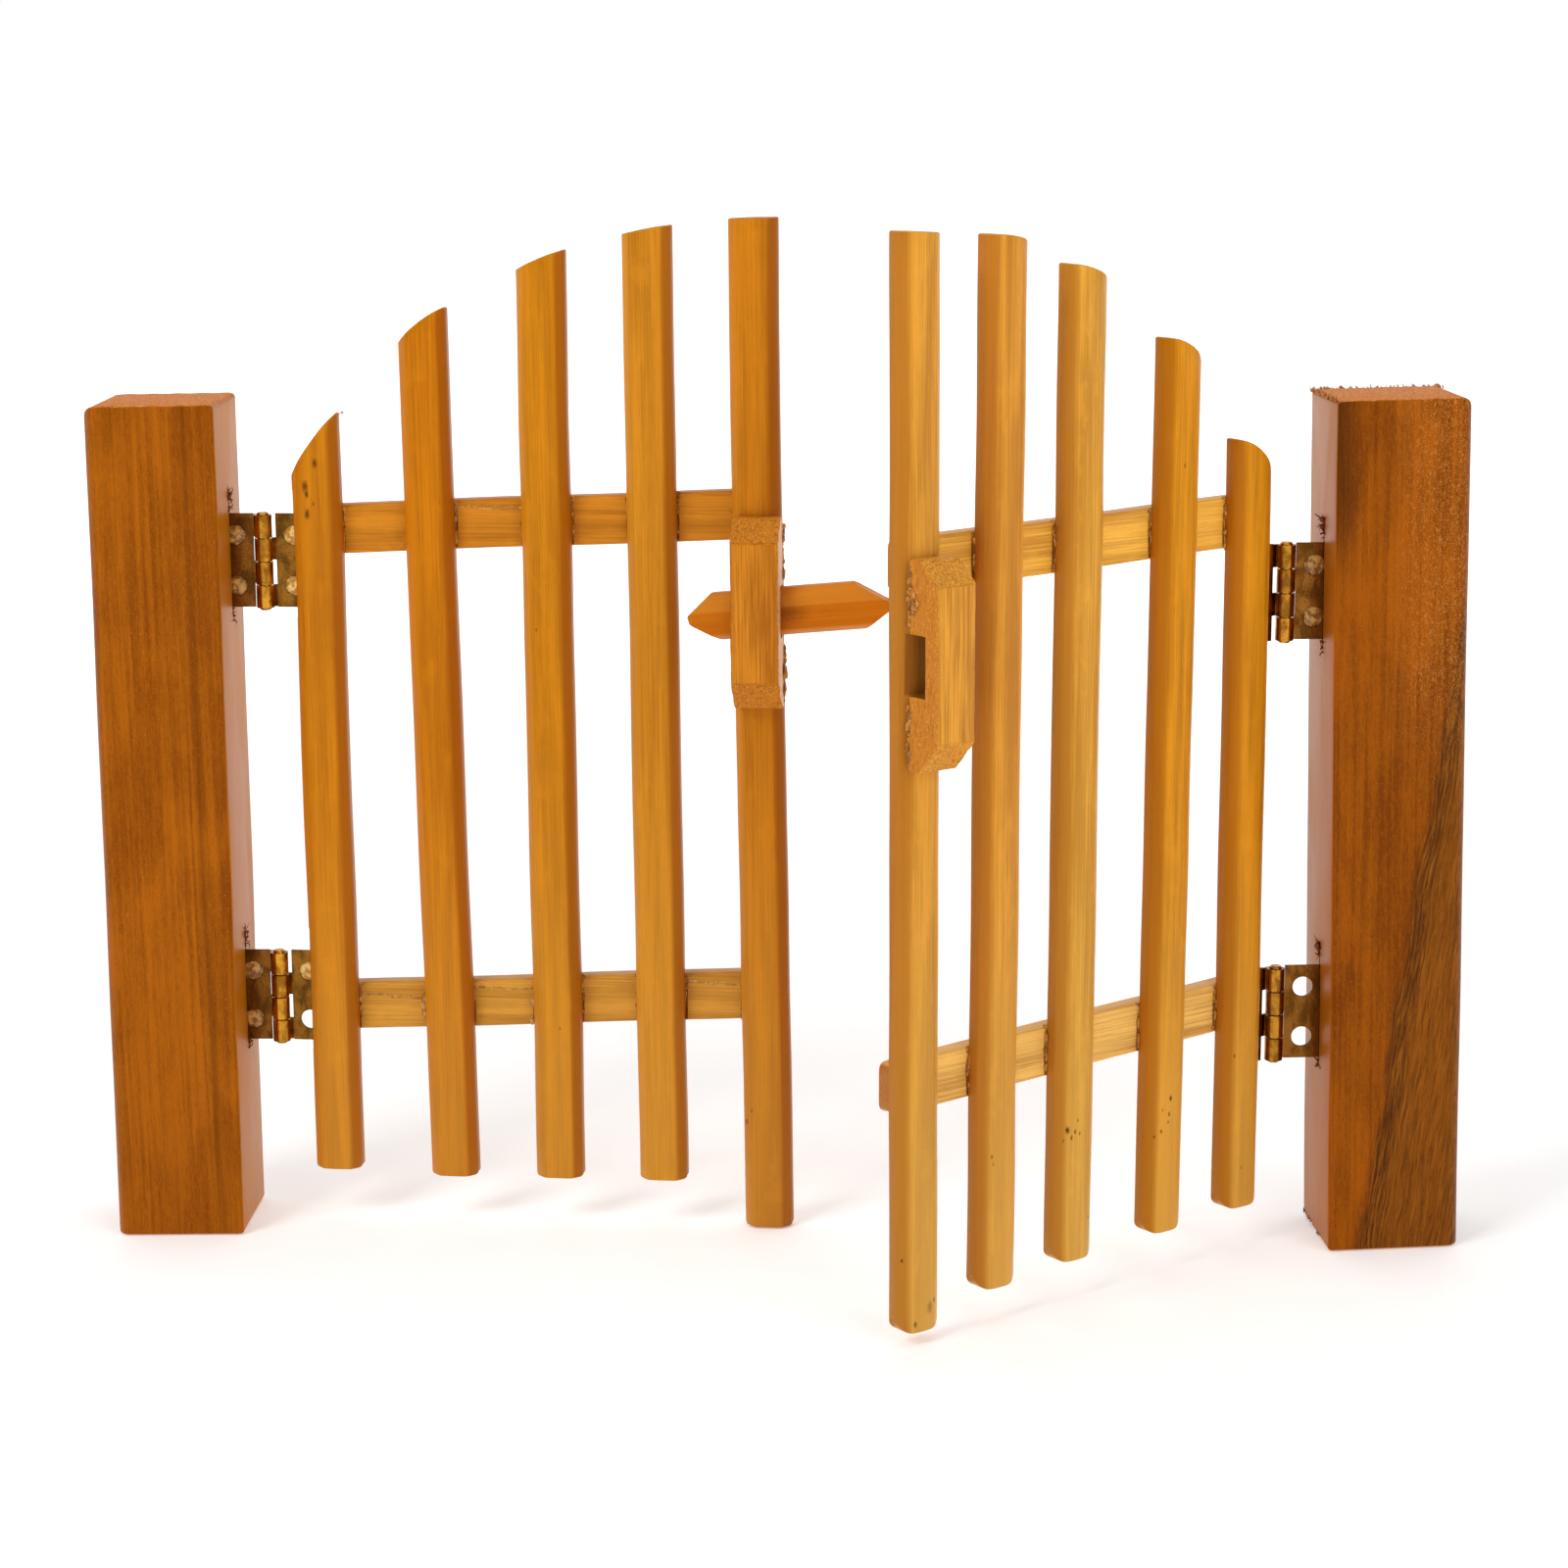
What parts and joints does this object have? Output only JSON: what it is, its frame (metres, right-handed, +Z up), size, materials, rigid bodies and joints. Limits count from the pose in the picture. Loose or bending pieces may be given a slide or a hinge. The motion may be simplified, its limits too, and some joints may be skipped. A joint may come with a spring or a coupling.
{
  "type": "garden gate",
  "caption": "Small double garden gate: square timber posts, arched bamboo picket leaves on brass butt hinges, wooden slide bolt in a guide block and keeper.",
  "frame": {"origin": "centre of the left post's foot, at ground level", "axes": "+Z up; +X along the gate line from the left post to the right post; +Y away from the front, where the latch is"},
  "size_m": [0.2596, 0.0895, 0.1949],
  "materials": {
    "post_wood_left": "stained and varnished",
    "post_wood_right": "stained and varnished, figured",
    "bamboo": "satin varnish",
    "rail_wood": "satin varnish",
    "latch_wood": "satin varnish",
    "bolt_wood": "satin varnish, stained",
    "brass": "pressed and rolled sheet"
  },
  "bodies": {
    "posts": {"left_post": "post_wood_left", "right_post": "post_wood_right", "left_upper_hinge_post_plate": "brass", "left_upper_hinge_pin": "brass", "left_lower_hinge_post_plate": "brass", "left_lower_hinge_pin": "brass", "right_upper_hinge_post_plate": "brass", "right_upper_hinge_pin": "brass", "right_lower_hinge_post_plate": "brass", "right_lower_hinge_pin": "brass"},
    "left_leaf": {"left_picket_1": "bamboo", "left_picket_2": "bamboo", "left_picket_3": "bamboo", "left_picket_4": "bamboo", "left_picket_5": "bamboo", "left_upper_rail": "rail_wood", "left_lower_rail": "rail_wood", "left_upper_hinge_leaf_plate": "brass", "left_lower_hinge_leaf_plate": "brass", "latch_guide_block": "latch_wood"},
    "right_leaf": {"right_picket_1": "bamboo", "right_picket_2": "bamboo", "right_picket_3": "bamboo", "right_picket_4": "bamboo", "right_picket_5": "bamboo", "right_upper_rail": "rail_wood", "right_lower_rail": "rail_wood", "right_upper_hinge_leaf_plate": "brass", "right_lower_hinge_leaf_plate": "brass", "latch_keeper_block": "latch_wood"},
    "bolt": {"latch_bolt": "bolt_wood"}
  },
  "joints": [
    {"name": "left_leaf_hinge", "type": "hinge", "parent": "posts", "child": "left_leaf", "pos_m": [0.01926, 0.00124, 0], "axis": [-0.0105, -0.001, -0.9999], "range_deg": [-70, 100]},
    {"name": "right_leaf_hinge", "type": "hinge", "parent": "posts", "child": "right_leaf", "pos_m": [0.21104, 0.0011, 0], "axis": [0.0174, 0.0035, 0.9998], "range_deg": [-45, 55]},
    {"name": "bolt_slide", "type": "slide", "parent": "left_leaf", "child": "bolt", "axis": [0.9969, 0.0001, 0.0785], "range_m": [-0.02, 0.004]}
  ]
}
